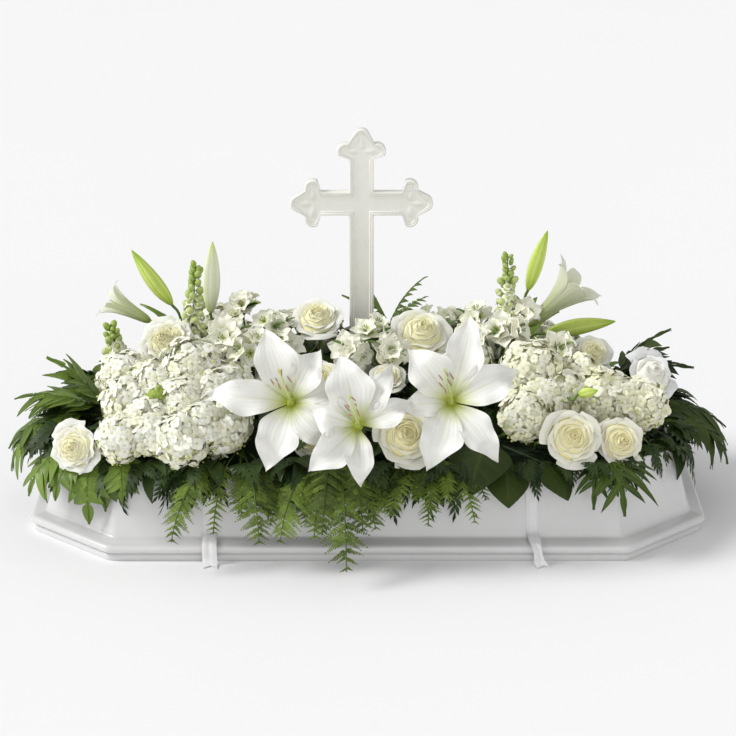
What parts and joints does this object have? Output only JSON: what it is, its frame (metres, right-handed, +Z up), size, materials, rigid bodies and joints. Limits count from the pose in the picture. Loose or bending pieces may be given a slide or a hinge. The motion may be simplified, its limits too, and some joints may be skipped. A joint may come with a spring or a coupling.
{
  "type": "flower arrangement",
  "caption": "Funeral flower arrangement of white lilies, cream roses, hydrangea and ferns round a pearl white cross, in a long white eight-sided box.",
  "frame": {"origin": "centre of the box's underside, on the floor", "axes": "+Z up, the front with the ribbons faces -Y, the long side of the box runs along X"},
  "size_m": [1.0236, 0.5952, 0.5271],
  "materials": {
    "lacquer": "gloss",
    "foam": "matte",
    "pearl": "satin",
    "stake": "matte",
    "satin": "satin",
    "lily_petals": "satin",
    "stamens": "matte",
    "rose_petals": "matte",
    "ruffled_petals": "matte",
    "hydrangea_florets": "matte",
    "small_petals": "matte",
    "stock_buds": "matte",
    "bud_green": "satin",
    "fern_green": "matte",
    "leaf_green": "satin",
    "leaf_dark": "satin"
  },
  "bodies": {
    "root": {"base_box": "lacquer", "cross": "pearl", "cross_stake": "stake", "ribbon_left": "satin", "ribbon_right": "satin", "lily_left": "lily_petals", "lily_left_stamens": "stamens", "lily_centre": "lily_petals", "lily_centre_stamens": "stamens", "lily_right": "lily_petals", "lily_right_stamens": "stamens", "rose_front_centre": "rose_petals", "rose_front_left": "rose_petals", "rose_right_low": "rose_petals", "rose_right_end": "rose_petals", "rose_right_high": "rose_petals", "rose_top_left": "rose_petals", "rose_top_right": "rose_petals", "rose_mid_left": "rose_petals", "rose_mid_right": "rose_petals", "rose_back": "rose_petals", "rose_back_left": "rose_petals", "rose_back_right": "rose_petals", "ruffled_left_end": "ruffled_petals", "ruffled_left": "ruffled_petals", "ruffled_right_end": "ruffled_petals", "hydrangeas_left": "hydrangea_florets", "hydrangeas_right": "hydrangea_florets", "hydrangeas_back_left": "hydrangea_florets", "hydrangeas_back_right": "hydrangea_florets", "hydrangea_mid_left": "hydrangea_florets", "hydrangea_mid_centre": "hydrangea_florets", "hydrangea_mid_right": "hydrangea_florets", "lily_spray_left": "bud_green", "lily_half_open_left": "lily_petals", "lily_trumpet_right": "lily_petals", "lily_spray_right": "bud_green", "stock_left": "stock_buds", "stock_right": "stock_buds", "stock_left_low": "stock_buds", "small_blooms_left": "small_petals", "small_blooms_centre": "small_petals", "small_blooms_right": "small_petals", "small_blooms_back_left": "small_petals", "small_blooms_back_right": "small_petals", "sprig_centre": "leaf_dark", "fern_front_left": "fern_green", "fern_front_centre": "fern_green", "fern_front_right": "fern_green", "fern_back_left": "fern_green", "fern_back_right": "fern_green", "leaves_left_end": "leaf_green", "leaves_left_low": "leaf_green", "leaves_right_end": "leaf_dark", "leaves_right_low": "leaf_green", "leaves_right_high": "leaf_dark", "leaves_broad_front": "leaf_dark", "floral_foam": "foam"}
  },
  "joints": []
}
